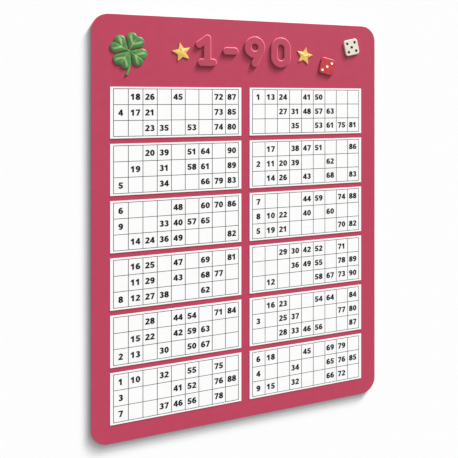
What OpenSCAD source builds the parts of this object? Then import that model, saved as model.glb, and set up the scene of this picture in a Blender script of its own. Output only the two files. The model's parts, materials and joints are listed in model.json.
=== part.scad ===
// Rigid board of twelve number cards: a die-cut core with a coloured cover sheet on its face, a plain
// sheet on its back, pasted number cards in two columns, and a header of raised numerals and ornaments.
// It lies on its back: X runs across, Y runs up towards the header and Z points out of the face.

/* [Board] */
// Width of the board
board_w = 300; // [280:5:360]
// Height of the board
board_h = 400; // [360:5:480]
// Radius of the die-cut corners
corner_r = 16; // [6:1:24]
// Thickness of the core
core_t = 2; // [1.2:0.1:3]
// Thickness of the cover sheet on the face
cover_t = 0.3; // [0.2:0.05:0.5]
// Thickness of the plain sheet on the back
rear_t = 0.2; // [0.1:0.05:0.5]

/* [Number cards] */
// Thickness of a pasted number card
card_t = 0.3; // [0.25:0.05:0.8]
// Coloured margin outside each column of cards
side_margin = 17.2; // [10:0.1:20]
// Coloured margin below the cards
foot_margin = 17.4; // [10:0.1:24]
// Height of the header above the cards
header_h = 67.8; // [62:0.2:80]
// Coloured strip between the two columns
column_gap = 8.9; // [3:0.1:14]
// Coloured strip between two cards of a column
row_gap = 4.9; // [2:0.1:8]

/* [Ruled cells] */
// Blank edge on the left of a card's cells
cell_left_margin = 3.1; // [2:0.1:8]
// Blank edge on the right of a card's cells
cell_right_margin = 3; // [2:0.1:8]
// Blank edge above and below a card's cells
cell_end_margin = 1.9; // [1.5:0.05:6]
// Width of a scored rule
rule_w = 0.6; // [0.2:0.05:0.8]
// Depth of a scored rule
rule_d = 0.1; // [0.05:0.01:0.2]

/* [Header numerals] */
// Height of the raised numerals
numeral_h = 31; // [27:0.5:36]
// Width of a round numeral
numeral_w = 22; // [18:0.5:24]
// Width of the numerals' strokes
stroke_w = 7.4; // [4:0.2:7.6]
// Thickness of the numerals
numeral_t = 1.6; // [1:0.1:2.5]
// Chamfer along the upper edges of the strokes
stroke_chamfer = 0.6; // [0.3:0.1:0.9]
// Width of the foot of the numeral one
one_foot_w = 19; // [16:1:22]
// Space by which the round end of the numeral one's flag clears its stem
one_flag_gap = 0.6; // [0.4:0.2:2]
// Length of the dash
dash_w = 16; // [12:1:20]
// Clear space between neighbouring numerals
numeral_gap = 6.5; // [4:0.5:8]
// Distance from the board's top edge to the middle of the numerals
numeral_drop = 31.5; // [26:0.5:38]

/* [Ornaments] */
// Thickness of the ornaments at their crowns
ornament_t = 1.4; // [1:0.1:2]
// Thickness of the ornaments at their rims
ornament_rim_t = 0.6; // [0.3:0.1:0.8]
// Distance from the board's top edge to the middle of the ornaments
ornament_drop = 34; // [28:0.5:38]
// Diameter of the round lobes of a clover leaf
lobe_d = 10.5; // [7:0.5:12]
// Width of the slit between two clover leaves
leaf_slit = 1; // [0.6:0.1:2]
// Diameter of the hub that joins the clover leaves
clover_hub_d = 5; // [3.5:0.5:7]
// Radius of the bend of the clover's stem
stem_bend_r = 34; // [26:1:44]
// Width of the clover's stem
stem_w = 2.4; // [1.6:0.2:4]
// Radius of a star's points
star_r = 9.5; // [7:0.5:10.5]
// Clear space between a star and the numerals
star_gap = 6.5; // [4:0.5:8]
// Side of a die
die_w = 17; // [14:0.5:18]
// Radius of a die's corners
die_corner_r = 3.2; // [2:0.2:5]
// Chamfer along the upper edge of a die
die_chamfer = 0.6; // [0.2:0.1:0.8]
// Diameter of a pip
pip_d = 3.2; // [2.4:0.2:4]
// Depth of the dished pips
pip_depth = 0.35; // [0.2:0.05:0.5]
// Space that the pale die keeps inside the line of the cards' outer edges
die_inset = 2; // [0:0.5:4]
// Height by which the pale die clears the red one
die_gap = 0.6; // [0.4:0.1:2]

/* [Hidden] */
$fn = 64;
// Cuts run past the face that they open by this much
overrun = 0.5;
card_rows = 6;
cell_columns = 9;
cell_rows = 3;
sides = ["left", "right"];

// Heights of the pasted layers
core_z = rear_t;
cover_z = core_z + core_t;
face_z = cover_z + cover_t;

// Cards and their cells
card_w = (board_w - 2 * side_margin - column_gap) / 2;
card_h = (board_h - header_h - foot_margin - (card_rows - 1) * row_gap) / card_rows;
cell_w = (card_w - cell_left_margin - cell_right_margin) / cell_columns;
cell_h = (card_h - 2 * cell_end_margin) / cell_rows;
card_top_y = board_h / 2 - header_h;

// Numerals, set out from left to right about the middle of the board
bow_r = (numeral_w - stroke_w) / 2;
bow_y = (numeral_h - numeral_w) / 2;
stem_reach = (numeral_h - stroke_w) / 2;
one_flag_fall = 0.75;
nine_lean = 25;
nine_leg_inset = 0.3;
numeral_widths = [one_foot_w, dash_w, numeral_w, numeral_w];
numerals_w = one_foot_w + dash_w + 2 * numeral_w + 3 * numeral_gap;
numeral_y = board_h / 2 - numeral_drop;

// Ornaments, set out from the side margins and from the ends of the numerals
ornament_y = board_h / 2 - ornament_drop;
star_points = 5;
star_inner_share = 0.46;
star_x = numerals_w / 2 + star_gap + star_r;
star_tilt = 12;
leaf_count = 4;
leaf_turn = 360 / leaf_count;
leaf_out = leaf_slit / sqrt(2);
crown_facets = 360;
lobe_out = lobe_d / sqrt(8);
leaf_reach = leaf_out + 3 * lobe_out + lobe_d / 2;
clover_tilt = 14;
clover_x = board_w / 2 - side_margin - leaf_reach;
stem_turn = 40;
die_tilt = 13;
die_reach = die_w / 2 * (cos(die_tilt) + sin(die_tilt));
pale_die_x = board_w / 2 - side_margin - die_inset - die_reach;
red_die_x = star_x + star_r + star_gap + die_reach;
die_rise = die_reach + die_gap / 2;
pip_step_share = 0.27;
pip_step = die_w * pip_step_share;
five_pip_shares = [[-1, -1], [-1, 1], [0, 0], [1, -1], [1, 1]];
three_pip_shares = [[-1, -1], [0, 0], [1, 1]];

function card_name(side, row) = str("number_card_", side, "_", row);
function numeral_x(i) =
    (i == 0 ? -numerals_w / 2 : numeral_x(i - 1) + numeral_widths[i - 1] / 2 + numeral_gap)
    + numeral_widths[i] / 2;
function dome_r(reach, rise) = (reach * reach + rise * rise) / (2 * rise);

// Rectangle with four round corners
module rounded_outline(w, h, r) {
    square([w - 2 * r, h], center = true);
    square([w, h - 2 * r], center = true);
    for (x = [-1, 1], y = [-1, 1])
        translate([x * (w / 2 - r), y * (h / 2 - r)]) circle(r);
}

// One sheet of the board, cut to its outline
module board_sheet(t) linear_extrude(t) rounded_outline(board_w, board_h, corner_r);

module rear_sheet() color("whitesmoke") board_sheet(rear_t);

module core_board() color("darkgray") translate([0, 0, core_z]) board_sheet(core_t);

module cover_sheet() color([0.74, 0.29, 0.38]) translate([0, 0, cover_z]) board_sheet(cover_t);

// Scored rules of one card, from the card's lower left corner
module card_rules() {
    grid_w = cell_columns * cell_w;
    grid_h = cell_rows * cell_h;
    for (i = [0 : cell_columns])
        translate([cell_left_margin + i * cell_w - rule_w / 2, cell_end_margin - rule_w / 2])
            cube([rule_w, grid_h + rule_w, rule_d + overrun]);
    for (i = [0 : cell_rows])
        translate([cell_left_margin - rule_w / 2, cell_end_margin + i * cell_h - rule_w / 2])
            cube([grid_w + rule_w, rule_w, rule_d + overrun]);
}

module number_card(side, row) {
    card_x = side == "left" ? -column_gap / 2 - card_w : column_gap / 2;
    card_y = card_top_y - row * card_h - (row - 1) * row_gap;
    color("white") translate([card_x, card_y, face_z]) difference() {
        cube([card_w, card_h, card_t]);
        translate([0, 0, card_t - rule_d]) card_rules();
    }
}

// Half of a section that is chamfered along its upper edge
module half_section(reach, t, chamfer) polygon([
    [0, 0],
    [reach, 0],
    [reach, t - chamfer],
    [reach - chamfer, t],
    [0, t]
]);

// Straight bar of that section, along X from the origin
module chamfered_bar(length, w, t, chamfer) rotate([90, 0, 90]) linear_extrude(length)
    for (side = [0, 1]) mirror([side, 0]) half_section(w / 2, t, chamfer);

// Round end of a stroke
module stroke_end() rotate_extrude() half_section(stroke_w / 2, numeral_t, stroke_chamfer);

// Straight stroke between two points
module plain_stroke(from, to) {
    run = to - from;
    translate(from) rotate([0, 0, atan2(run.y, run.x)])
        chamfered_bar(norm(run), stroke_w, numeral_t, stroke_chamfer);
}

// The same with round ends
module stroke(from, to) {
    plain_stroke(from, to);
    for (end = [from, to]) translate(end) stroke_end();
}

// Stroke that follows a bow of the round numerals
module bow(height, start, turn) translate([0, height]) rotate([0, 0, start])
    rotate_extrude(angle = turn) translate([bow_r, 0])
        for (side = [0, 1]) mirror([side, 0]) half_section(stroke_w / 2, numeral_t, stroke_chamfer);

// Puts numeral number i in its place on the cover sheet
module on_header(i) color([0.76, 0.30, 0.39]) translate([numeral_x(i), numeral_y, face_z]) children();

module numeral_one() on_header(0) {
    foot = (one_foot_w - stroke_w) / 2;
    flag_tip = [0, stem_reach] - (stroke_w + one_flag_gap) * [1, one_flag_fall];
    stroke([-foot, -stem_reach], [foot, -stem_reach]);
    plain_stroke([0, -stem_reach], [0, stem_reach]);
    translate([0, stem_reach]) stroke_end();
    plain_stroke([0, stem_reach], flag_tip);
    translate(flag_tip) stroke_end();
}

module numeral_dash() on_header(1) {
    half_run = (dash_w - stroke_w) / 2;
    stroke([-half_run, 0], [half_run, 0]);
}

// The leaning leg starts on the middle line of the bowl, and its foot stands level with the other numerals
module numeral_nine() on_header(2) {
    leg_x = bow_r - nine_leg_inset;
    leg_top = -sqrt(bow_r * bow_r - leg_x * leg_x);
    leg_foot = (leg_x * sin(nine_lean) - bow_y - stem_reach) / cos(nine_lean);
    bow(bow_y, 0, 360);
    translate([0, bow_y]) rotate([0, 0, -nine_lean]) {
        plain_stroke([leg_x, leg_top], [leg_x, leg_foot]);
        translate([leg_x, leg_foot]) stroke_end();
    }
}

module numeral_zero() on_header(3) {
    bow(bow_y, 0, 180);
    bow(-bow_y, 180, 180);
    for (x = [-bow_r, bow_r]) plain_stroke([x, bow_y], [x, -bow_y]);
}

// Heart-shaped clover leaf with its tip at the middle of the clover
module leaf_outline() {
    rotate([0, 0, 45]) square(lobe_d);
    for (x = [-lobe_out, lobe_out]) translate([x, 3 * lobe_out]) circle(d = lobe_d);
}

// Leaf that rises from its rim to a crown along its midrib
module clover_leaf() {
    crown_r = dome_r(lobe_d, ornament_t - ornament_rim_t);
    intersection() {
        linear_extrude(ornament_t) leaf_outline();
        translate([0, leaf_reach, ornament_t - crown_r]) rotate([90, 0, 0])
            cylinder(r = crown_r, h = 2 * leaf_reach, $fn = crown_facets);
    }
}

module clover_ornament() color("forestgreen") translate([-clover_x, ornament_y, face_z])
    rotate([0, 0, clover_tilt]) {
        for (i = [0 : leaf_count - 1]) rotate([0, 0, leaf_turn * i + leaf_turn / 2])
            translate([0, leaf_out]) clover_leaf();
        cylinder(d = clover_hub_d, h = ornament_rim_t);
        translate([-stem_bend_r, 0]) rotate([0, 0, -stem_turn]) rotate_extrude(angle = stem_turn)
            translate([stem_bend_r - stem_w / 2, 0]) square([stem_w, ornament_rim_t]);
    }

// Star on a flat rim, with ridges that run from its points to its peak
module star() {
    outline = [for (i = [0 : 2 * star_points - 1])
        let (r = i % 2 == 0 ? star_r : star_r * star_inner_share, a = 90 + i * 180 / star_points)
        r * [cos(a), sin(a)]];
    linear_extrude(ornament_rim_t) polygon(outline);
    translate([0, 0, ornament_rim_t])
        linear_extrude(ornament_t - ornament_rim_t, scale = 0) polygon(outline);
}

module star_ornament_left() color("gold") translate([-star_x, ornament_y, face_z])
    rotate([0, 0, star_tilt]) star();

module star_ornament_right() color("gold") translate([star_x, ornament_y, face_z])
    rotate([0, 0, -star_tilt]) star();

// Square slab with round corners, chamfered along its upper edge
module die_slab() {
    straight = die_w - 2 * die_corner_r;
    for (turn = [0, 90]) rotate([0, 0, turn]) translate([-straight / 2, 0])
        chamfered_bar(straight, die_w, ornament_t, die_chamfer);
    for (x = [-1, 1], y = [-1, 1]) translate([x, y] * straight / 2)
        rotate_extrude() half_section(die_corner_r, ornament_t, die_chamfer);
}

// Die seen from above, with dished pips
module die(pips) {
    dish_r = dome_r(pip_d / 2, pip_depth);
    difference() {
        die_slab();
        for (place = pips * pip_step) translate([place.x, place.y, ornament_t - pip_depth + dish_r])
            sphere(dish_r);
    }
}

module die_ornament_pale() color("ivory")
    translate([pale_die_x, ornament_y + die_rise, face_z])
        rotate([0, 0, die_tilt]) die(five_pip_shares);

module die_ornament_red() color("firebrick")
    translate([red_die_x, ornament_y - die_rise, face_z])
        rotate([0, 0, -die_tilt]) die(three_pip_shares);

rear_sheet();
core_board();
cover_sheet();
for (side = sides, row = [1 : card_rows])
    number_card(side, row);
numeral_one();
numeral_dash();
numeral_nine();
numeral_zero();
clover_ornament();
star_ornament_left();
star_ornament_right();
die_ornament_pale();
die_ornament_red();
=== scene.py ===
# Bingo card board: finishes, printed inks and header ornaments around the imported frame.
import json
import math

import bmesh
import bpy
from mathutils import Matrix, Vector
from mathutils.geometry import delaunay_2d_cdt

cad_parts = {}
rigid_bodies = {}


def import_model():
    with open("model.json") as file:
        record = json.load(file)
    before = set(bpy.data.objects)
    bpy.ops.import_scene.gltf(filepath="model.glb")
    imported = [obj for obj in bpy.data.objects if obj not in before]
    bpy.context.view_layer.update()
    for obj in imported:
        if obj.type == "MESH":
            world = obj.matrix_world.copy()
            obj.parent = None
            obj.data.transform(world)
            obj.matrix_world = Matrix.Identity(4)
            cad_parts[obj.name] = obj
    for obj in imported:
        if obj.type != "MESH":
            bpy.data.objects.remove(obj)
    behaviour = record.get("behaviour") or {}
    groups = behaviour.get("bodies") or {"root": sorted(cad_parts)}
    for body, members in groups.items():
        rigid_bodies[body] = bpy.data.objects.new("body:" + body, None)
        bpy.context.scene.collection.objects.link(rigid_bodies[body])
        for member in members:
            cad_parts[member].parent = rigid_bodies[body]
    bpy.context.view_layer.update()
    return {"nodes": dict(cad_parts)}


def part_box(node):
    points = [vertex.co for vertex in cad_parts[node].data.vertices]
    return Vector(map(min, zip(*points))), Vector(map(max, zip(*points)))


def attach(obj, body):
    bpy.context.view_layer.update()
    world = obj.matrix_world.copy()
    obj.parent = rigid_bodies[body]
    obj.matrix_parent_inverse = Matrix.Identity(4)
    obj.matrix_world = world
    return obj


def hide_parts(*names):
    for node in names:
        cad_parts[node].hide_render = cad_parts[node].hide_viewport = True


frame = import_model()
cadNodes = frame["nodes"]
scene = bpy.context.scene
mm = 0.001
noiseRange = (0.3, 0.7)  # nearly all values of a noise lie in here
noiseMiddle = (0.35, 0.65)  # most of them lie in here
fadeIn, fadeOut = (0.0, 1.0), (1.0, 0.0)
print("frame:", len(cadNodes), "nodes")


# Helpers for node trees

def addNode(tree, kind, inputs=None, **settings):
    made = tree.nodes.new(kind)
    for key, value in settings.items():
        setattr(made, key, value)
    for key, value in (inputs or {}).items():
        if isinstance(value, bpy.types.NodeSocket):
            tree.links.new(value, made.inputs[key])
        else:
            made.inputs[key].default_value = value
    return made


def calc(tree, operation, a, b=0.0):
    return addNode(tree, "ShaderNodeMath", {0: a, 1: b}, operation=operation).outputs[0]


def weigh(tree, a, b, share):
    return calc(tree, "ADD", calc(tree, "MULTIPLY", a, share), calc(tree, "MULTIPLY", b, 1 - share))


def offBy(tree, value, target):
    return calc(tree, "ABSOLUTE", calc(tree, "SUBTRACT", value, target))


def vector(tree, x=0.0, y=0.0, z=0.0):
    return addNode(tree, "ShaderNodeCombineXYZ", {0: x, 1: y, 2: z}).outputs[0]


def fade(tree, value, window, span=fadeIn, shape="SMOOTHSTEP"):
    made = addNode(tree, "ShaderNodeMapRange", {
        "Value": value, "From Min": window[0], "From Max": window[1],
        "To Min": span[0], "To Max": span[1]}, interpolation_type=shape)
    return made.outputs[0]


def mixColour(tree, factor, a, b):
    a, b = ((*c, 1) if isinstance(c, tuple) else c for c in (a, b))
    mix = addNode(tree, "ShaderNodeMix", {0: factor, 6: a, 7: b}, data_type="RGBA")
    return mix.outputs[2]  # inputs 6 and 7 and output 2 are the colour sockets


def grain(tree, size, detail=3.0, stretch=(1, 1, 1), roughness=0.55):
    place = addNode(tree, "ShaderNodeTexCoord").outputs["Object"]
    place = addNode(tree, "ShaderNodeMapping", {"Vector": place, "Scale": [s / size for s in stretch]})
    noise = addNode(tree, "ShaderNodeTexNoise", {
        "Vector": place.outputs[0], "Scale": 1, "Detail": detail, "Roughness": roughness})
    return noise.outputs["Fac"]


def attributeValue(tree, name):
    return addNode(tree, "ShaderNodeAttribute", attribute_name=name).outputs["Fac"]


def facingUp(tree):
    normal = addNode(tree, "ShaderNodeNewGeometry").outputs["Normal"]
    return addNode(tree, "ShaderNodeSeparateXYZ", {0: normal}).outputs["Z"]


def relief(tree, bsdf, height, depth, strength=1.0):
    bump = addNode(tree, "ShaderNodeBump", {"Strength": strength, "Distance": depth, "Height": height})
    tree.links.new(bump.outputs[0], bsdf.inputs["Normal"])


# In the names of sockets an underscore stands for a space
def newShader(name, **sockets):
    mat = bpy.data.materials.new(name)
    mat.use_nodes = True
    bsdf = mat.node_tree.nodes["Principled BSDF"]
    for label, value in sockets.items():
        bsdf.inputs[label.replace("_", " ")].default_value = value
    return mat, mat.node_tree, bsdf


def connect(tree, bsdf, **sockets):
    for label, value in sockets.items():
        tree.links.new(value, bsdf.inputs[label.replace("_", " ")])


def newTree(name, **inputs):
    tree = bpy.data.node_groups.new(name, "GeometryNodeTree")
    tree.interface.new_socket("Geometry", in_out="OUTPUT", socket_type="NodeSocketGeometry")
    tree.interface.new_socket("Geometry", in_out="INPUT", socket_type="NodeSocketGeometry")
    for label, kind in inputs.items():
        tree.interface.new_socket(label, in_out="INPUT", socket_type="NodeSocket" + kind)
    return tree, tree.nodes.new("NodeGroupInput").outputs, tree.nodes.new("NodeGroupOutput").inputs[0]


def onPoints(tree, points, instance, **more):
    inputs = {"Points": points, "Instance": instance}
    inputs.update({label.replace("_", " "): value for label, value in more.items()})
    return addNode(tree, "GeometryNodeInstanceOnPoints", inputs).outputs[0]


def realise(tree, instances):
    return addNode(tree, "GeometryNodeRealizeInstances", {"Geometry": instances}).outputs[0]


def finishTree(tree, made, given, result):
    painted = addNode(tree, "GeometryNodeSetMaterial", {"Geometry": made, "Material": given["Finish"]})
    tree.links.new(painted.outputs[0], result)
    return tree


def runTree(piece, tree, **values):
    mod = piece.modifiers.new(tree.name, "NODES")
    mod.node_group = tree
    for item in tree.interface.items_tree:
        if item.in_out == "INPUT" and item.name in values:
            mod[item.identifier] = values[item.name]
    depsgraph = bpy.context.evaluated_depsgraph_get()
    made = bpy.data.meshes.new_from_object(piece.evaluated_get(depsgraph), depsgraph=depsgraph)
    piece.modifiers.clear()
    piece.data = made


# Helpers for meshes

def newPiece(name, mesh, material=None):
    piece = bpy.data.objects.new(name, mesh)
    scene.collection.objects.link(piece)
    if material:
        mesh.materials.append(material)
    return piece


def pointMesh(name, points):
    mesh = bpy.data.meshes.new(name)
    mesh.from_pydata(points, [], [])
    return mesh


def meshFrom(bm, name):
    mesh = bpy.data.meshes.new(name)
    bm.to_mesh(mesh)
    bm.free()
    return mesh


def circle(radius, count):
    turns = [math.tau * i / count for i in range(count)]
    return [(radius * math.cos(turn), radius * math.sin(turn)) for turn in turns]


def bridge(bm, lower, upper):
    pairs = [(i, (i + 1) % len(lower)) for i in range(len(lower))]
    return [bm.faces.new((lower[i], lower[j], upper[j], upper[i])) for i, j in pairs]


def dress(material, *names):
    for name in names:
        cadNodes[name].data.materials.clear()
        cadNodes[name].data.materials.append(material)


# Cover sheet: red printed paper whose die-cut edge is rolled over a little and rubbed pale
coverSheet = {
    "cornerRadius": 16 * mm, "cornerSteps": 24, "roll": 0.22 * mm, "rollSteps": 4,
    "rings": [1 * mm, 2.5 * mm, 6 * mm],
    "ink": (0.492, 0.054, 0.105), "deepInk": (0.480, 0.0515, 0.101), "mottle": 9 * mm,
    "rubbed": (0.62, 0.22, 0.26), "rubWidth": 1.1 * mm, "nick": 2.2 * mm, "nickWindow": (0.44, 0.62),
    "cutPaper": (0.60, 0.44, 0.43), "cutWindow": (0.15, 0.35),
    "specular": 0.25, "roughness": (0.50, 0.58), "tooth": 0.7 * mm, "toothDepth": 0.004 * mm,
}


def redPrint(s):
    mat, tree, bsdf = newShader("redPrint", Specular_IOR_Level=s["specular"])
    mottle = grain(tree, s["mottle"], detail=4)
    ink = mixColour(tree, fade(tree, mottle, noiseMiddle), s["deepInk"], s["ink"])
    edge = attributeValue(tree, "edgeDistance")
    rim = fade(tree, edge, (0.0, s["rubWidth"] / mm), fadeOut)
    nicks = fade(tree, calc(tree, "MULTIPLY", rim, grain(tree, s["nick"])), s["nickWindow"])
    ink = mixColour(tree, nicks, ink, s["rubbed"])
    ink = mixColour(tree, fade(tree, facingUp(tree), s["cutWindow"]), s["cutPaper"], ink)
    connect(tree, bsdf, Base_Color=ink, Roughness=fade(tree, mottle, noiseRange, s["roughness"]))
    relief(tree, bsdf, grain(tree, s["tooth"], detail=2), s["toothDepth"])
    return mat


def outlineRing(low, high, radius, inset, steps):
    points = []
    for corner, (sx, sy) in enumerate([(1, 1), (-1, 1), (-1, -1), (1, -1)]):
        cx = (high.x if sx > 0 else low.x) - sx * radius
        cy = (high.y if sy > 0 else low.y) - sy * radius
        for k in range(steps + 1):
            turn = math.radians(90 * (corner + k / steps))
            reach = radius - inset
            points.append((cx + reach * math.cos(turn), cy + reach * math.sin(turn)))
    return points


def buildCoverSheet(s):
    low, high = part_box("cover_sheet")
    profile = [(0, low.z), (0, high.z - s["roll"])]  # distance from the outline, and height
    for k in range(1, s["rollSteps"] + 1):
        turn = math.pi / 2 * k / s["rollSteps"]
        profile.append((s["roll"] * (1 - math.cos(turn)), high.z - s["roll"] * (1 - math.sin(turn))))
    profile += [(inset, high.z) for inset in s["rings"]]
    bm = bmesh.new()
    distance = bm.verts.layers.float.new("edgeDistance")  # in millimetres
    loops = []
    for inset, z in profile:
        outline = outlineRing(low, high, s["cornerRadius"], inset, s["cornerSteps"])
        loops.append([bm.verts.new((x, y, z)) for x, y in outline])
        for vert in loops[-1]:
            vert[distance] = inset / mm
    for lower, upper in zip(loops, loops[1:]):
        bridge(bm, lower, upper)
    bm.faces.new(loops[0][::-1])
    bm.faces.new(loops[-1])
    piece = newPiece("coverSheet", meshFrom(bm, "coverSheet"), redPrint(s))
    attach(piece, "root")
    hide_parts("cover_sheet")


buildCoverSheet(coverSheet)
print("cover sheet done")


# Core and back: layered grey board and a plain liner paper
greyCore = {
    "grey": (0.19, 0.18, 0.163), "paleFibre": (0.31, 0.295, 0.265), "toneWindow": (0.36, 0.64),
    "ply": 0.32 * mm, "fibre": 2.4 * mm, "fineFibre": 0.5 * mm, "plyShare": 0.65,
    "specular": 0.15, "roughness": 0.92, "depth": 0.05 * mm, "relief": 0.6,
}
rearLiner = {
    "liner": (0.745, 0.728, 0.685), "linerPale": (0.775, 0.76, 0.72), "cloud": 5 * mm,
    "speck": (0.52, 0.48, 0.42), "speckSize": 1.1 * mm, "speckWindow": (0.70, 0.76), "speckShare": 0.5,
    "specular": 0.2, "roughness": 0.85, "tooth": 0.6 * mm, "toothDepth": 0.012 * mm, "relief": 0.5,
}


def greyBoard(s):
    mat, tree, bsdf = newShader("greyBoard", Specular_IOR_Level=s["specular"], Roughness=s["roughness"])
    plies = grain(tree, s["fibre"], detail=4, stretch=(1, 1, s["fibre"] / s["ply"]))
    fibres = grain(tree, s["fineFibre"], stretch=(1, 1, 2.5))
    tone = weigh(tree, plies, fibres, s["plyShare"])
    board = mixColour(tree, fade(tree, tone, s["toneWindow"]), s["grey"], s["paleFibre"])
    connect(tree, bsdf, Base_Color=board)
    relief(tree, bsdf, tone, s["depth"], s["relief"])
    return mat


def linerPaper(s):
    mat, tree, bsdf = newShader("linerPaper", Specular_IOR_Level=s["specular"], Roughness=s["roughness"])
    cloud = grain(tree, s["cloud"], detail=6, stretch=(1, 2.2, 1))
    paper = mixColour(tree, fade(tree, cloud, noiseRange), s["liner"], s["linerPale"])
    specks = fade(tree, grain(tree, s["speckSize"], detail=2, stretch=(1, 2.6, 1)), s["speckWindow"])
    paper = mixColour(tree, calc(tree, "MULTIPLY", specks, s["speckShare"]), paper, s["speck"])
    connect(tree, bsdf, Base_Color=paper)
    relief(tree, bsdf, grain(tree, s["tooth"], stretch=(1, 2, 1)), s["toothDepth"], s["relief"])
    return mat


dress(greyBoard(greyCore), "core_board")
dress(linerPaper(rearLiner), "rear_sheet")
print("core and back done")


# Number cards: white card stock, with black rules in the scored lines and black numbers on top
cardSides = ["left", "right"]
cardStock = {
    "columns": 9, "rows": 3, "leftMargin": 3.1 * mm, "rightMargin": 3 * mm, "endMargin": 1.9 * mm,
    "white": (0.980, 0.980, 0.977), "shade": (0.962, 0.961, 0.955), "toneWindow": (0.38, 0.62),
    "cloud": 14 * mm, "fibre": 0.8 * mm, "cloudShare": 0.6, "fibreDepth": 0.003 * mm,
    "cutEdge": (0.80, 0.785, 0.75), "cutWindow": (0.3, 0.6), "specular": 0.25, "roughness": 0.62,
}
inkFinish = {"cover": 0.45 * mm, "thinWindow": (0.45, 0.75), "specular": 0.1, "roughness": (0.5, 0.65)}
cardRules = {
    "width": 0.6 * mm, "scoreDepth": 0.1 * mm, "ink": 0.07 * mm, "hairline": 0.01 * mm,
    "colour": (0.015, 0.0145, 0.016), "thinTone": 1.8,
}
# Stem, bar, width and advance of a digit are in cap heights
cardDigits = {
    "height": 5.85 * mm, "advance": 0.80, "width": 0.70, "spread": 1.1, "lift": -0.05 * mm,
    "nudge": {"left": -0.22 * mm, "right": -0.52 * mm}, "ink": 0.02 * mm,
    "stem": 0.27, "bar": 0.24, "arcStep": 20, "weld": 1e-4, "flatAngle": 0.01,
    "black": (0.006, 0.006, 0.007), "thinInk": (0.018, 0.017, 0.019),
}
cardNumbers = {
    "left": [
        [[18, 26, 45, 72, 87], [4, 17, 21, 73, 85], [23, 35, 53, 74, 80]],
        [[20, 39, 51, 64, 90], [19, 31, 58, 61, 89], [5, 34, 66, 79, 83]],
        [[6, 48, 60, 70, 86], [9, 33, 40, 57, 65], [14, 24, 36, 49, 82]],
        [[16, 25, 47, 69, 81], [11, 29, 43, 68, 77], [8, 12, 27, 38, 62]],
        [[28, 44, 54, 71, 84], [15, 22, 42, 59, 63], [2, 13, 30, 50, 67]],
        [[1, 10, 32, 55, 75], [3, 41, 52, 76, 88], [7, 37, 46, 56, 78]],
    ],
    "right": [
        [[1, 13, 24, 41, 50], [27, 31, 48, 57, 63], [35, 53, 61, 75, 81]],
        [[17, 38, 47, 51, 86], [2, 11, 20, 39, 62], [14, 26, 43, 68, 83]],
        [[7, 44, 59, 74, 88], [8, 10, 22, 40, 60], [5, 19, 21, 70, 82]],
        [[29, 30, 42, 52, 71], [36, 49, 55, 78, 89], [12, 58, 67, 73, 90]],
        [[16, 23, 54, 64, 84], [3, 25, 37, 77, 80], [28, 33, 46, 56, 87]],
        [[6, 18, 45, 69, 79], [4, 34, 65, 76, 85], [9, 15, 32, 66, 72]],
    ],
}


def whiteStock(s):
    mat, tree, bsdf = newShader("whiteStock", Specular_IOR_Level=s["specular"], Roughness=s["roughness"])
    cloud = grain(tree, s["cloud"], detail=4)
    fibres = grain(tree, s["fibre"], stretch=(1, 2.2, 1))
    tone = weigh(tree, cloud, fibres, s["cloudShare"])
    paper = mixColour(tree, fade(tree, tone, s["toneWindow"]), s["shade"], s["white"])
    paper = mixColour(tree, fade(tree, facingUp(tree), s["cutWindow"]), s["cutEdge"], paper)
    connect(tree, bsdf, Base_Color=paper)
    relief(tree, bsdf, fibres, s["fibreDepth"])
    return mat


def printInk(name, dark, thin):
    s = inkFinish
    mat, tree, bsdf = newShader(name, Specular_IOR_Level=s["specular"])
    cover = grain(tree, s["cover"], detail=2)
    connect(tree, bsdf, Base_Color=mixColour(tree, fade(tree, cover, s["thinWindow"]), dark, thin),
            Roughness=fade(tree, cover, noiseRange, s["roughness"]))
    return mat


# Lower left corner of a card's cells, and the size of a cell
def cellFrame(side, row):
    s = cardStock
    low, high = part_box(f"number_card_{side}_{row}")
    corner = Vector((low.x + s["leftMargin"], low.y + s["endMargin"], high.z))
    width = (high.x - low.x - s["leftMargin"] - s["rightMargin"]) / s["columns"]
    height = (high.y - low.y - 2 * s["endMargin"]) / s["rows"]
    return corner, width, height


# Each stroke of a digit is a polygon in cap heights: a part of an elliptic band, or a straight bar
def band(cx, cy, rx, ry, start, end):
    s = cardDigits
    count = max(2, round((end - start) / s["arcStep"]))
    turns = [math.radians(start + (end - start) * k / count) for k in range(count + 1)]
    outer = [(cx + rx * math.cos(t), cy + ry * math.sin(t)) for t in turns]
    inner = [(cx + (rx - s["stem"]) * math.cos(t), cy + (ry - s["bar"]) * math.sin(t)) for t in turns]
    return outer + inner[::-1]


def ring(cx, cy, rx, ry):
    return [band(cx, cy, rx, ry, 0, 180), band(cx, cy, rx, ry, 180, 360)]


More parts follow.
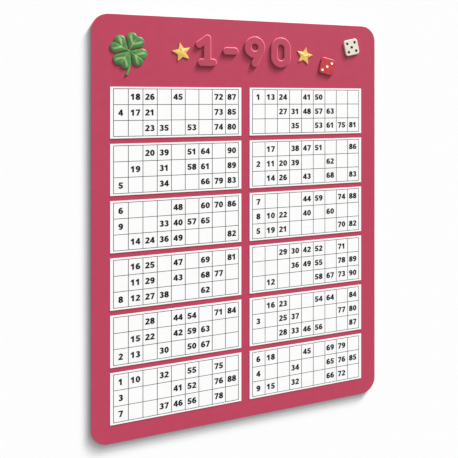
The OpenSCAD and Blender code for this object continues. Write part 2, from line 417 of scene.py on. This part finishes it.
six = ring(0.355, 0.325, 0.345, 0.335) + [band(0.385, 0.5, 0.375, 0.51, 48, 196)]
digitStrokes = [
    ring(0.35, 0.5, 0.345, 0.51),
    [[(0.25, 0), (0.51, 0), (0.51, 1), (0.25, 0.92)],
     [(0.33, 1), (0.04, 0.80), (0.04, 0.56), (0.51, 0.74), (0.51, 1)]],
    [band(0.345, 0.70, 0.33, 0.31, -30, 168),
     [(0.40, 0.665), (0.632, 0.545), (0.33, 0.18), (0.01, 0.12)],
     [(0.01, 0), (0.67, 0), (0.67, 0.22), (0.02, 0.22)]],
    [band(0.335, 0.735, 0.315, 0.275, -80, 165),
     band(0.335, 0.285, 0.34, 0.295, -165, 80),
     [(0.24, 0.415), (0.40, 0.415), (0.40, 0.62), (0.24, 0.62)]],
    [[(0.35, 0), (0.60, 0), (0.60, 1), (0.35, 1)],
     [(0, 0.185), (0.71, 0.185), (0.71, 0.395), (0, 0.395)],
     [(0, 0.385), (0.24, 0.385), (0.47, 0.74), (0.47, 1), (0.36, 1)]],
    [[(0.12, 0.785), (0.65, 0.785), (0.65, 1), (0.12, 1)],
     [(0.11, 1), (0.34, 1), (0.27, 0.48), (0.03, 0.45)],
     band(0.325, 0.325, 0.355, 0.335, -165, 132)],
    six,
    [[(0.02, 0.785), (0.68, 0.785), (0.68, 1), (0.02, 1)],
     [(0.42, 0.82), (0.68, 0.84), (0.39, 0), (0.12, 0)]],
    ring(0.35, 0.735, 0.325, 0.29) + ring(0.35, 0.285, 0.355, 0.305),
    [[(cardDigits["width"] - x, 1 - y) for x, y in stroke] for stroke in six],  # nine is a turned six
]


# One digit, one cap height tall and one unit thick, centred on its place
def glyphMesh(digit):
    s = cardDigits
    points, faces = [], []
    for stroke in digitStrokes[digit]:
        ends = zip(stroke, stroke[1:] + stroke[:1])
        if sum(a[0] * b[1] - b[0] * a[1] for a, b in ends) < 0:  # every stroke runs anticlockwise
            stroke = stroke[::-1]
        faces.append(list(range(len(points), len(points) + len(stroke))))
        points += [Vector(p) for p in stroke]
    insideOnly = 1
    flat = delaunay_2d_cdt(points, [], faces, insideOnly, s["weld"])  # one sheet where strokes cross
    bm = bmesh.new()
    verts = [bm.verts.new((p.x - s["width"] / 2, p.y - 0.5, 0)) for p in flat[0]]
    for face, strokes in zip(flat[2], flat[5]):
        if strokes:  # a face of no stroke is the hole of a ring
            bm.faces.new([verts[i] for i in face])
    bmesh.ops.delete(bm, geom=[v for v in bm.verts if not v.link_faces], context="VERTS")
    bmesh.ops.dissolve_limit(bm, angle_limit=s["flatAngle"], verts=bm.verts, edges=bm.edges)
    bmesh.ops.recalc_face_normals(bm, faces=bm.faces)
    if bm.faces[:][0].normal.z > 0:
        bmesh.ops.reverse_faces(bm, faces=bm.faces)
    # Top and walls are made face by face, because an extrusion's order changes from run to run
    rims = [loop for face in bm.faces for loop in face.loops if loop.edge.is_boundary]
    walls = [(loop.link_loop_next.vert, loop.vert) for loop in rims]
    raised = {vert: bm.verts.new((vert.co.x, vert.co.y, 1)) for vert in bm.verts[:]}
    for face in bm.faces[:]:
        bm.faces.new([raised[vert] for vert in reversed(face.verts[:])])
    for a, b in walls:
        bm.faces.new((a, b, raised[b], raised[a]))
    return meshFrom(bm, f"glyph{digit}")


def digitTree():
    tree, given, result = newTree("digitsOnPoints", Glyphs="Collection", Width="Float", Height="Float",
                                  Ink="Float", Finish="Material")
    glyphs = addNode(tree, "GeometryNodeCollectionInfo", {
        "Collection": given["Glyphs"], "Separate Children": True, "Reset Children": True})
    digit = addNode(tree, "GeometryNodeInputNamedAttribute", {"Name": "digit"}, data_type="INT")
    placed = onPoints(tree, given["Geometry"], glyphs.outputs[0], Pick_Instance=True,
                      Instance_Index=digit.outputs["Attribute"],
                      Scale=vector(tree, given["Width"], given["Height"], given["Ink"]))
    return finishTree(tree, realise(tree, placed), given, result)


# Places of the digits of one card, and the digits themselves
def cardDigitPlaces(s, side, row, lines):
    corner, cellWidth, cellHeight = cellFrame(side, row)
    for line, numbers in enumerate(lines):
        y = (cardStock["rows"] - line - 0.5) * cellHeight + s["lift"]
        for number in numbers:
            column = min(number // 10, cardStock["columns"] - 1)
            middle = corner + Vector(((column + 0.5) * cellWidth + s["nudge"][side], y, 0))
            text = str(number)
            for k, letter in enumerate(text):
                shift = (k - (len(text) - 1) / 2) * s["advance"] * s["height"]
                yield middle + Vector((shift, 0, 0)), int(letter)


def buildDigits(s):
    placed = []
    for side in cardSides:
        for row, lines in enumerate(cardNumbers[side], 1):
            placed += cardDigitPlaces(s, side, row, lines)
    mesh = pointMesh("digitPlaces", [place for place, digit in placed])
    digits = mesh.attributes.new("digit", "INT", "POINT")
    digits.data.foreach_set("value", [digit for place, digit in placed])
    piece = newPiece("digitInk", mesh)
    glyphs = bpy.data.collections.new("glyphs")
    for digit in range(10):
        glyphs.objects.link(bpy.data.objects.new(f"glyph{digit}", glyphMesh(digit)))
    ink = printInk("digitInk", s["black"], s["thinInk"])
    runTree(piece, digitTree(), Glyphs=glyphs, Width=s["height"] * s["spread"], Height=s["height"],
            Ink=s["ink"], Finish=ink)
    for glyph in glyphs.objects[:]:
        bpy.data.objects.remove(glyph)
    bpy.data.collections.remove(glyphs)
    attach(piece, "root")
    print("digits:", len(placed), "faces:", len(piece.data.polygons))


def ruleTree():
    tree, given, result = newTree("rulesOnCards", Columns="Int", Rows="Int", CellWidth="Float",
                                  CellHeight="Float", Width="Float", Hairline="Float", Ink="Float",
                                  Finish="Material")
    width, cellWidth, ink = given["Width"], given["CellWidth"], given["Ink"]

    def maths(operation, a, b):
        return calc(tree, operation, a, b)

    def half(value):
        return maths("MULTIPLY", value, 0.5)

    gridHeight = maths("MULTIPLY", given["Rows"], given["CellHeight"])
    gridWidth = maths("MULTIPLY", given["Columns"], cellWidth)
    upright = addNode(tree, "GeometryNodeMeshCube", {
        "Size": vector(tree, width, maths("ADD", gridHeight, width), ink)})
    uprightPlaces = addNode(tree, "GeometryNodeMeshLine", {
        "Count": maths("ADD", given["Columns"], 1), "Offset": vector(tree, cellWidth),
        "Start Location": vector(tree, 0.0, half(gridHeight), half(ink))})
    # Level rules stop a hair short of the uprights, so that the ink is closed pieces that share no edge
    level = addNode(tree, "GeometryNodeMeshCube", {
        "Size": vector(tree, maths("SUBTRACT", cellWidth, maths("ADD", width, given["Hairline"])),
                       width, ink)})
    levelPlaces = addNode(tree, "GeometryNodeMeshGrid", {
        "Size X": maths("SUBTRACT", gridWidth, cellWidth), "Size Y": gridHeight,
        "Vertices X": given["Columns"], "Vertices Y": maths("ADD", given["Rows"], 1)})
    levelPlaces = addNode(tree, "GeometryNodeTransform", {
        "Geometry": levelPlaces.outputs[0],
        "Translation": vector(tree, half(gridWidth), half(gridHeight), half(ink))})
    grid = addNode(tree, "GeometryNodeJoinGeometry")
    for places, rule in ((uprightPlaces, upright), (levelPlaces, level)):
        tree.links.new(onPoints(tree, places.outputs[0], rule.outputs[0]), grid.inputs[0])
    grid = addNode(tree, "GeometryNodeGeometryToInstance", {0: grid.outputs[0]})
    onCards = onPoints(tree, given["Geometry"], grid.outputs[0])
    return finishTree(tree, realise(tree, onCards), given, result)


def buildRules(s):
    corners = []
    for side in cardSides:
        for row in range(1, len(cardNumbers[side]) + 1):
            corner, cellWidth, cellHeight = cellFrame(side, row)  # cells are alike on all cards
            corners.append(corner - Vector((0, 0, s["scoreDepth"])))
    piece = newPiece("ruleInk", pointMesh("ruleCorners", corners))
    ink = printInk("ruleInk", s["colour"], tuple(c * s["thinTone"] for c in s["colour"]))
    runTree(piece, ruleTree(), Columns=cardStock["columns"], Rows=cardStock["rows"], CellWidth=cellWidth,
            CellHeight=cellHeight, Width=s["width"], Hairline=s["hairline"], Ink=s["ink"], Finish=ink)
    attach(piece, "root")
    print("rules:", len(piece.data.polygons), "faces")


dress(whiteStock(cardStock), *[name for name in cadNodes if name.startswith("number_card")])
buildRules(cardRules)
buildDigits(cardDigits)


# Header numerals: satin red like the cover, with a painted highlight: their chamfers are coloured a paler
# pink
headerNumerals = {
    "face": (0.490, 0.054, 0.104), "chamfer": (0.66, 0.20, 0.25),
    "steep": (0.25, 0.50), "level": (0.80, 0.95),
    "mottle": 5 * mm, "deep": (0.42, 0.036, 0.075), "deepShare": 0.12,
    "specular": 0.4, "roughness": (0.34, 0.42), "tooth": 0.9 * mm, "toothDepth": 0.004 * mm,
}


def satinRed(s):
    mat, tree, bsdf = newShader("satinRed", Specular_IOR_Level=s["specular"])
    mottle = grain(tree, s["mottle"])
    up = facingUp(tree)
    # painted highlight: faces tilted between the steep walls and the level top, the chamfers, take the
    # paler pink
    highlightMask = calc(tree, "MULTIPLY", fade(tree, up, s["level"], fadeOut), fade(tree, up, s["steep"]))
    red = mixColour(tree, highlightMask, s["face"], s["chamfer"])
    red = mixColour(tree, fade(tree, mottle, noiseRange, (0.0, s["deepShare"])), red, s["deep"])
    connect(tree, bsdf, Base_Color=red, Roughness=fade(tree, mottle, noiseRange, s["roughness"]))
    relief(tree, bsdf, grain(tree, s["tooth"], detail=2), s["toothDepth"])
    return mat


dress(satinRed(headerNumerals), "numeral_one", "numeral_dash", "numeral_nine", "numeral_zero")
print("numerals done")


# Stars: embossed gold foil
goldStars = {
    "gold": (0.80, 0.55, 0.17), "deepGold": (0.66, 0.41, 0.10), "tone": 4 * mm, "roughness": (0.26, 0.40),
    "hammer": 1.1 * mm, "hammerDepth": 0.03 * mm, "relief": 0.5,
}


def goldFoil(s):
    mat, tree, bsdf = newShader("goldFoil", Metallic=1.0)
    hammer = grain(tree, s["hammer"], detail=2)
    tone = fade(tree, grain(tree, s["tone"]), noiseMiddle)
    connect(tree, bsdf, Base_Color=mixColour(tree, tone, s["deepGold"], s["gold"]),
            Roughness=fade(tree, hammer, noiseRange, s["roughness"]))
    relief(tree, bsdf, hammer, s["hammerDepth"], s["relief"])
    return mat


dress(goldFoil(goldStars), "star_ornament_left", "star_ornament_right")
print("stars done")


# Dice: lacquered slabs with painted pips in their dished seats
lacquerFinish = {
    "coat": 0.4, "coatRoughness": 0.12, "roughness": 0.35, "tone": 5 * mm,
    "ripple": 1.6 * mm, "rippleDepth": 0.006 * mm, "relief": 0.6,
}
dicePips = {
    "tilt": 13, "step": 4.59 * mm, "width": 3.2 * mm, "depth": 0.35 * mm, "paint": 0.03 * mm,
    "paintShare": 0.94, "rings": 4, "segments": 20, "weld": 1e-7,
    "five": [(-1, -1), (-1, 1), (0, 0), (1, -1), (1, 1)], "three": [(-1, -1), (0, 0), (1, 1)],
    "ivory": (0.82, 0.775, 0.66), "ivoryShade": (0.76, 0.70, 0.57),
    "scarlet": (0.56, 0.018, 0.022), "scarletShade": (0.44, 0.012, 0.018),
    "ink": (0.014, 0.016, 0.030), "white": (0.88, 0.87, 0.84),
}


def lacquer(name, colour, shade):
    s = lacquerFinish
    mat, tree, bsdf = newShader(name, Coat_Weight=s["coat"], Coat_Roughness=s["coatRoughness"],
                                Roughness=s["roughness"])
    tone = fade(tree, grain(tree, s["tone"]), noiseMiddle)
    connect(tree, bsdf, Base_Color=mixColour(tree, tone, shade, colour))
    relief(tree, bsdf, grain(tree, s["ripple"], detail=2), s["rippleDepth"], s["relief"])
    return mat


def pipMesh(s):
    dish = ((s["width"] / 2) ** 2 + s["depth"] ** 2) / (2 * s["depth"])  # radius of the dish's sphere
    bm = bmesh.new()
    for side in (1, -1):  # upper skin just above the dish, lower skin just inside it
        last = None
        for k in range(1, s["rings"] + 1):
            r = s["width"] / 2 * s["paintShare"] * k / s["rings"]
            z = dish - s["depth"] - math.sqrt(dish * dish - r * r)
            if k < s["rings"]:  # the skins meet in the outer ring
                z += s["paint"] * side
            loop = [bm.verts.new((x, y, z)) for x, y in circle(r, s["segments"])]
            if last:
                bridge(bm, last, loop)
            else:
                bm.faces.new(loop)
            last = loop
    bmesh.ops.remove_doubles(bm, verts=bm.verts, dist=s["weld"])
    bmesh.ops.recalc_face_normals(bm, faces=bm.faces)
    return meshFrom(bm, "pip")


def pipTree():
    tree, given, result = newTree("pipsOnPoints", Pip="Object", Finish="Material")
    pip = addNode(tree, "GeometryNodeObjectInfo", {"Object": given["Pip"]})
    placed = onPoints(tree, given["Geometry"], pip.outputs["Geometry"])
    return finishTree(tree, realise(tree, placed), given, result)


def buildPips(s):
    pip = bpy.data.objects.new("pip", pipMesh(s))
    tree = pipTree()
    dice = [("pale", s["five"], s["tilt"], printInk("pipInk", s["ink"], s["ink"])),
            ("red", s["three"], -s["tilt"], lacquer("pipWhite", s["white"], s["white"]))]
    for colour, places, tilt, paint in dice:
        low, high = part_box(f"die_ornament_{colour}")
        centre = Vector(((low.x + high.x) / 2, (low.y + high.y) / 2, high.z))
        turn = Matrix.Rotation(math.radians(tilt), 3, "Z")
        points = [centre + turn @ Vector((x * s["step"], y * s["step"], 0)) for x, y in places]
        piece = newPiece(f"{colour}DiePips", pointMesh("pipPlaces", points))
        runTree(piece, tree, Pip=pip, Finish=paint)
        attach(piece, "root")
    bpy.data.objects.remove(pip)


dress(lacquer("ivoryLacquer", dicePips["ivory"], dicePips["ivoryShade"]), "die_ornament_pale")
dress(lacquer("scarletLacquer", dicePips["scarlet"], dicePips["scarletShade"]), "die_ornament_red")
buildPips(dicePips)
print("dice done")


# Clover: four domed heart leaves round a hub, and a bent stem
clover = {
    "centre": (-115.706 * mm, 166 * mm), "tilt": 14, "leaves": 4, "lobe": 10.5 * mm, "slit": 1 * mm,
    "rim": 0.5 * mm, "crown": 1.4 * mm, "edgeSteps": 7, "lobeSteps": 20,
    "across": [0, 0.05, 0.14, 0.3, 0.48, 0.66, 0.82, 0.93, 1],
    "notchPower": 8, "footPower": 5, "sidePower": 3, "groove": 0.25 * mm, "grooveShare": 0.09,
    "weld": 1e-6, "collapsed": 1e-7, "smoothFrom": 0.9,
    "stemBend": 34 * mm, "stemTurn": 40, "stemSteps": 18, "stemSides": 8,
    "stemWidth": (1.9 * mm, 2.8 * mm), "stemRise": 0.9 * mm, "stemLow": 0.45, "stemRamp": 5,
    "hub": 3.4 * mm, "hubRise": 0.8 * mm, "hubTurns": (0, 25, 50, 72), "hubSegments": 16,
    "stem": (0.10, 0.28, 0.05), "stemShade": (0.06, 0.19, 0.035),
}
leafFinish = {
    "green": (0.050, 0.215, 0.035), "deepGreen": (0.026, 0.125, 0.022), "pale": (0.33, 0.52, 0.19),
    "coat": 0.25, "coatRoughness": 0.2, "roughness": 0.42, "tone": 6 * mm,
    "chevronAt": 0.46, "chevronSlant": 0.16, "chevronWidth": (0.03, 0.10), "chevronEnds": (0.6, 0.95),
    "chevronShare": 0.75, "sideVeins": 9.0, "sideVeinWidth": (0.0, 0.14), "sideVeinShare": 0.35,
    "midribWidth": (0.02, 0.075), "veinShare": 0.55, "veinDepth": 0.05 * mm, "relief": 0.6,
}


def leafGreen(s):
    mat, tree, bsdf = newShader("leafGreen", Coat_Weight=s["coat"], Coat_Roughness=s["coatRoughness"],
                                Roughness=s["roughness"])
    across = calc(tree, "ABSOLUTE", attributeValue(tree, "leafAcross"))
    along = attributeValue(tree, "leafAlong")
    green = mixColour(tree, fade(tree, grain(tree, s["tone"]), noiseMiddle), s["deepGreen"], s["green"])
    chevron = calc(tree, "SUBTRACT", along, calc(tree, "MULTIPLY", across, s["chevronSlant"]))
    chevron = fade(tree, offBy(tree, chevron, s["chevronAt"]), s["chevronWidth"], fadeOut)
    ends = fade(tree, across, s["chevronEnds"], (s["chevronShare"], 0.0))
    green = mixColour(tree, calc(tree, "MULTIPLY", chevron, ends), green, s["pale"])
    sideVein = calc(tree, "FRACT", calc(tree, "MULTIPLY", along, s["sideVeins"]))
    sideVein = fade(tree, offBy(tree, sideVein, 0.5), s["sideVeinWidth"], fadeOut)
    midrib = fade(tree, across, s["midribWidth"], fadeOut)
    veins = calc(tree, "MAXIMUM", midrib, calc(tree, "MULTIPLY", sideVein, s["sideVeinShare"]))
    green = mixColour(tree, calc(tree, "MULTIPLY", veins, s["veinShare"]), green, s["pale"])
    connect(tree, bsdf, Base_Color=green)
    relief(tree, bsdf, calc(tree, "SUBTRACT", 1.0, veins), s["veinDepth"], s["relief"])
    return mat


# A heart is a square on its tip with a half circle on each upper side
def heartEdge(s, out):
    edge = [Vector((2 * out * k / s["edgeSteps"],) * 2) for k in range(s["edgeSteps"])]
    radius = s["lobe"] / 2
    for k in range(s["lobeSteps"] + 1):
        turn = math.radians(-45 + 180 * k / s["lobeSteps"])
        edge.append(Vector((out + radius * math.cos(turn), 3 * out + radius * math.sin(turn))))
    return edge


def leafMesh(s):
    out = s["lobe"] / math.sqrt(8)
    edge = heartEdge(s, out)
    bm = bmesh.new()
    acrossLayer = bm.verts.layers.float.new("leafAcross")
    alongLayer = bm.verts.layers.float.new("leafAlong")
    last = len(edge) - 1

    def addVert(x, y, z, a, t):
        vert = bm.verts.new((x, y, z))
        vert[acrossLayer], vert[alongLayer] = a, t
        return vert

    for side in (1, -1):
        rows, foot = [], []
        for k, rim in enumerate(edge):
            t = k / last
            rib = Vector((0, 4 * out * t))
            swell = (1 - t ** s["notchPower"]) * (1 - (1 - t) ** s["footPower"])
            row = []
            for a in s["across"]:
                p = rib.lerp(rim, a)
                z = s["rim"] + (s["crown"] - s["rim"]) * swell * (1 - a ** s["sidePower"])
                z -= s["groove"] * swell * math.exp(-(a / s["grooveShare"]) ** 2)
                row.append(addVert(side * p.x, p.y, z, side * a, t))
            rows.append(row)
            foot.append((addVert(0, rib.y, 0, side, t), addVert(side * rim.x, rim.y, 0, side, t)))
        for k in range(last):
            for i in range(len(s["across"]) - 1):
                bm.faces.new((rows[k][i], rows[k][i + 1], rows[k + 1][i + 1], rows[k + 1][i]))
            bm.faces.new((rows[k][-1], foot[k][1], foot[k + 1][1], rows[k + 1][-1]))
            bm.faces.new((foot[k][0], foot[k + 1][0], foot[k + 1][1], foot[k][1]))
    bmesh.ops.remove_doubles(bm, verts=bm.verts, dist=s["weld"])
    bmesh.ops.dissolve_degenerate(bm, edges=bm.edges, dist=s["collapsed"])
    bmesh.ops.recalc_face_normals(bm, faces=bm.faces)
    for face in bm.faces:  # only the dome is smooth
        face.smooth = face.calc_center_median().z > s["rim"] * s["smoothFrom"]
    return meshFrom(bm, "cloverLeaf")


def cloverTree():
    tree, given, result = newTree("leavesRoundHub", Leaves="Int", Gap="Float", Tilt="Float",
                                  Centre="Vector", Finish="Material")
    spots = addNode(tree, "GeometryNodePoints", {"Count": given["Leaves"]})
    index = addNode(tree, "GeometryNodeInputIndex").outputs[0]
    turn = calc(tree, "MULTIPLY", calc(tree, "ADD", index, 0.5),
                calc(tree, "DIVIDE", math.tau, given["Leaves"]))
    moved = addNode(tree, "GeometryNodeTransform", {
        "Geometry": given["Geometry"], "Translation": vector(tree, y=given["Gap"])})
    spin = vector(tree, z=calc(tree, "ADD", turn, given["Tilt"]))
    leaves = onPoints(tree, spots.outputs[0], moved.outputs[0], Rotation=spin)
    seated = addNode(tree, "GeometryNodeTransform", {
        "Geometry": realise(tree, leaves), "Translation": given["Centre"]})
    return finishTree(tree, seated.outputs[0], given, result)


def addStem(bm, s, seat):
    rings = []
    tilt = Matrix.Rotation(math.radians(s["tilt"]), 2)
    thin, thick = s["stemWidth"]
    for k in range(s["stemSteps"] + 1):
        t = k / s["stemSteps"]
        turn = math.radians(-s["stemTurn"] * t)
        outward = Vector((math.cos(turn), math.sin(turn)))
        width = thin + (thick - thin) * t ** 2
        rise = s["stemLow"] + (1 - s["stemLow"]) * min(1, s["stemRamp"] * t)  # low under the leaves' tips
        loop = []
        for j in range(s["stemSides"] + 1):
            around = math.pi * j / s["stemSides"]
            reach = s["stemBend"] + width / 2 * math.cos(around)
            p = tilt @ (outward * reach - Vector((s["stemBend"], 0)))
            z = seat + s["stemRise"] * math.sin(around) * rise
            loop.append(bm.verts.new((p.x + s["centre"][0], p.y + s["centre"][1], z)))
        rings.append(loop)
    for lower, upper in zip(rings, rings[1:]):
        for face in bridge(bm, lower, upper)[:-1]:  # the last one is the flat underside
            face.smooth = True
    bm.faces.new(rings[0])
    bm.faces.new(rings[-1])


def addHub(bm, s, seat):
    dome = []
    for turn in s["hubTurns"]:
        up = math.radians(turn)
        z = seat + s["hubRise"] * math.sin(up)
        dome.append([bm.verts.new((s["centre"][0] + x, s["centre"][1] + y, z))
                     for x, y in circle(s["hub"] / 2 * math.cos(up), s["hubSegments"])])
    for lower, upper in zip(dome, dome[1:]):
        for face in bridge(bm, lower, upper):
            face.smooth = True
    bm.faces.new(dome[0])
    bm.faces.new(dome[-1]).smooth = True


def stemMesh(s, seat):
    bm = bmesh.new()
    addStem(bm, s, seat)
    addHub(bm, s, seat)
    bmesh.ops.recalc_face_normals(bm, faces=bm.faces)
    return meshFrom(bm, "cloverStem")


def buildClover(s):
    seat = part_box("clover_ornament")[0].z
    leaves = newPiece("cloverLeaves", leafMesh(s))
    runTree(leaves, cloverTree(), Leaves=s["leaves"], Gap=s["slit"] / math.sqrt(2),
            Tilt=math.radians(s["tilt"]), Centre=(*s["centre"], seat), Finish=leafGreen(leafFinish))
    stem = newPiece("cloverStem", stemMesh(s, seat), lacquer("stemGreen", s["stem"], s["stemShade"]))
    for piece in (leaves, stem):
        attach(piece, "root")
        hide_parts("clover_ornament")


buildClover(clover)
print("clover done")


# Studio: white floor, low soft keys from the upper right, an even white surround
# Each key has an elevation, a width and the share of white that it gives a level surface
studio = {
    "floorSize": 8.0, "floorDrop": 0.02 * mm, "floor": (0.985, 0.985, 0.985), "surround": 0.31,
    "keyAzimuth": 57,
    "keys": {"keyLow": (11, 8, 0.34), "keyMiddle": (19.6, 12, 0.24), "keyHigh": (37, 24, 0.11)},
    "cameraPlace": (-0.160, 0.120, 0.4687), "cameraTurn": -17.02, "lens": 38.4, "sensor": 36,
    "shiftY": -0.2822, "clip": (0.01, 20),
}


def buildFloor(s):
    half = s["floorSize"] / 2
    corners = [(-half, -half), (half, -half), (half, half), (-half, half)]
    mesh = bpy.data.meshes.new("floor")
    mesh.from_pydata([(x, y, -s["floorDrop"]) for x, y in corners], [], [(0, 1, 2, 3)])
    paper = newShader("floorWhite", Base_Color=(*s["floor"], 1), Roughness=1.0, Specular_IOR_Level=0.0)[0]
    newPiece("floor", mesh, paper)


def buildLights(s):
    azimuth = math.radians(s["keyAzimuth"])
    for name, (elevation, width, share) in s["keys"].items():
        rise = math.radians(elevation)
        key = bpy.data.lights.new(name, "SUN")
        key.energy, key.angle = share * math.pi / math.sin(rise), math.radians(width)
        lamp = bpy.data.objects.new(name, key)
        scene.collection.objects.link(lamp)
        level = math.cos(rise)
        towards = Vector((math.cos(azimuth) * level, math.sin(azimuth) * level, math.sin(rise)))
        lamp.rotation_euler = towards.to_track_quat("Z", "Y").to_euler()

    # The surround lights the scene dimly, and is plain white where it is seen or mirrored
    world = bpy.data.worlds.new("surround")
    world.use_nodes = True
    tree, sky = world.node_tree, world.node_tree.nodes["Background"]
    ray = addNode(tree, "ShaderNodeLightPath").outputs
    plain = calc(tree, "MAXIMUM", calc(tree, "MAXIMUM", ray["Is Camera Ray"], ray["Is Glossy Ray"]),
                 ray["Is Transmission Ray"])
    strength = fade(tree, plain, fadeIn, (s["surround"], 1.0), "LINEAR")
    tree.links.new(strength, sky.inputs["Strength"])
    sky.inputs["Color"].default_value = (1, 1, 1, 1)
    scene.world = world


def buildCamera(s):
    lens = bpy.data.cameras.new("camera")
    lens.lens, lens.sensor_width, lens.shift_y = s["lens"], s["sensor"], s["shiftY"]
    lens.clip_start, lens.clip_end = s["clip"]
    camera = bpy.data.objects.new("camera", lens)
    scene.collection.objects.link(camera)
    camera.location = s["cameraPlace"]
    camera.rotation_euler = (0, math.radians(s["cameraTurn"]), 0)
    scene.camera = camera
    scene.view_settings.view_transform = "Standard"


buildFloor(studio)
buildLights(studio)
buildCamera(studio)
print("studio done")
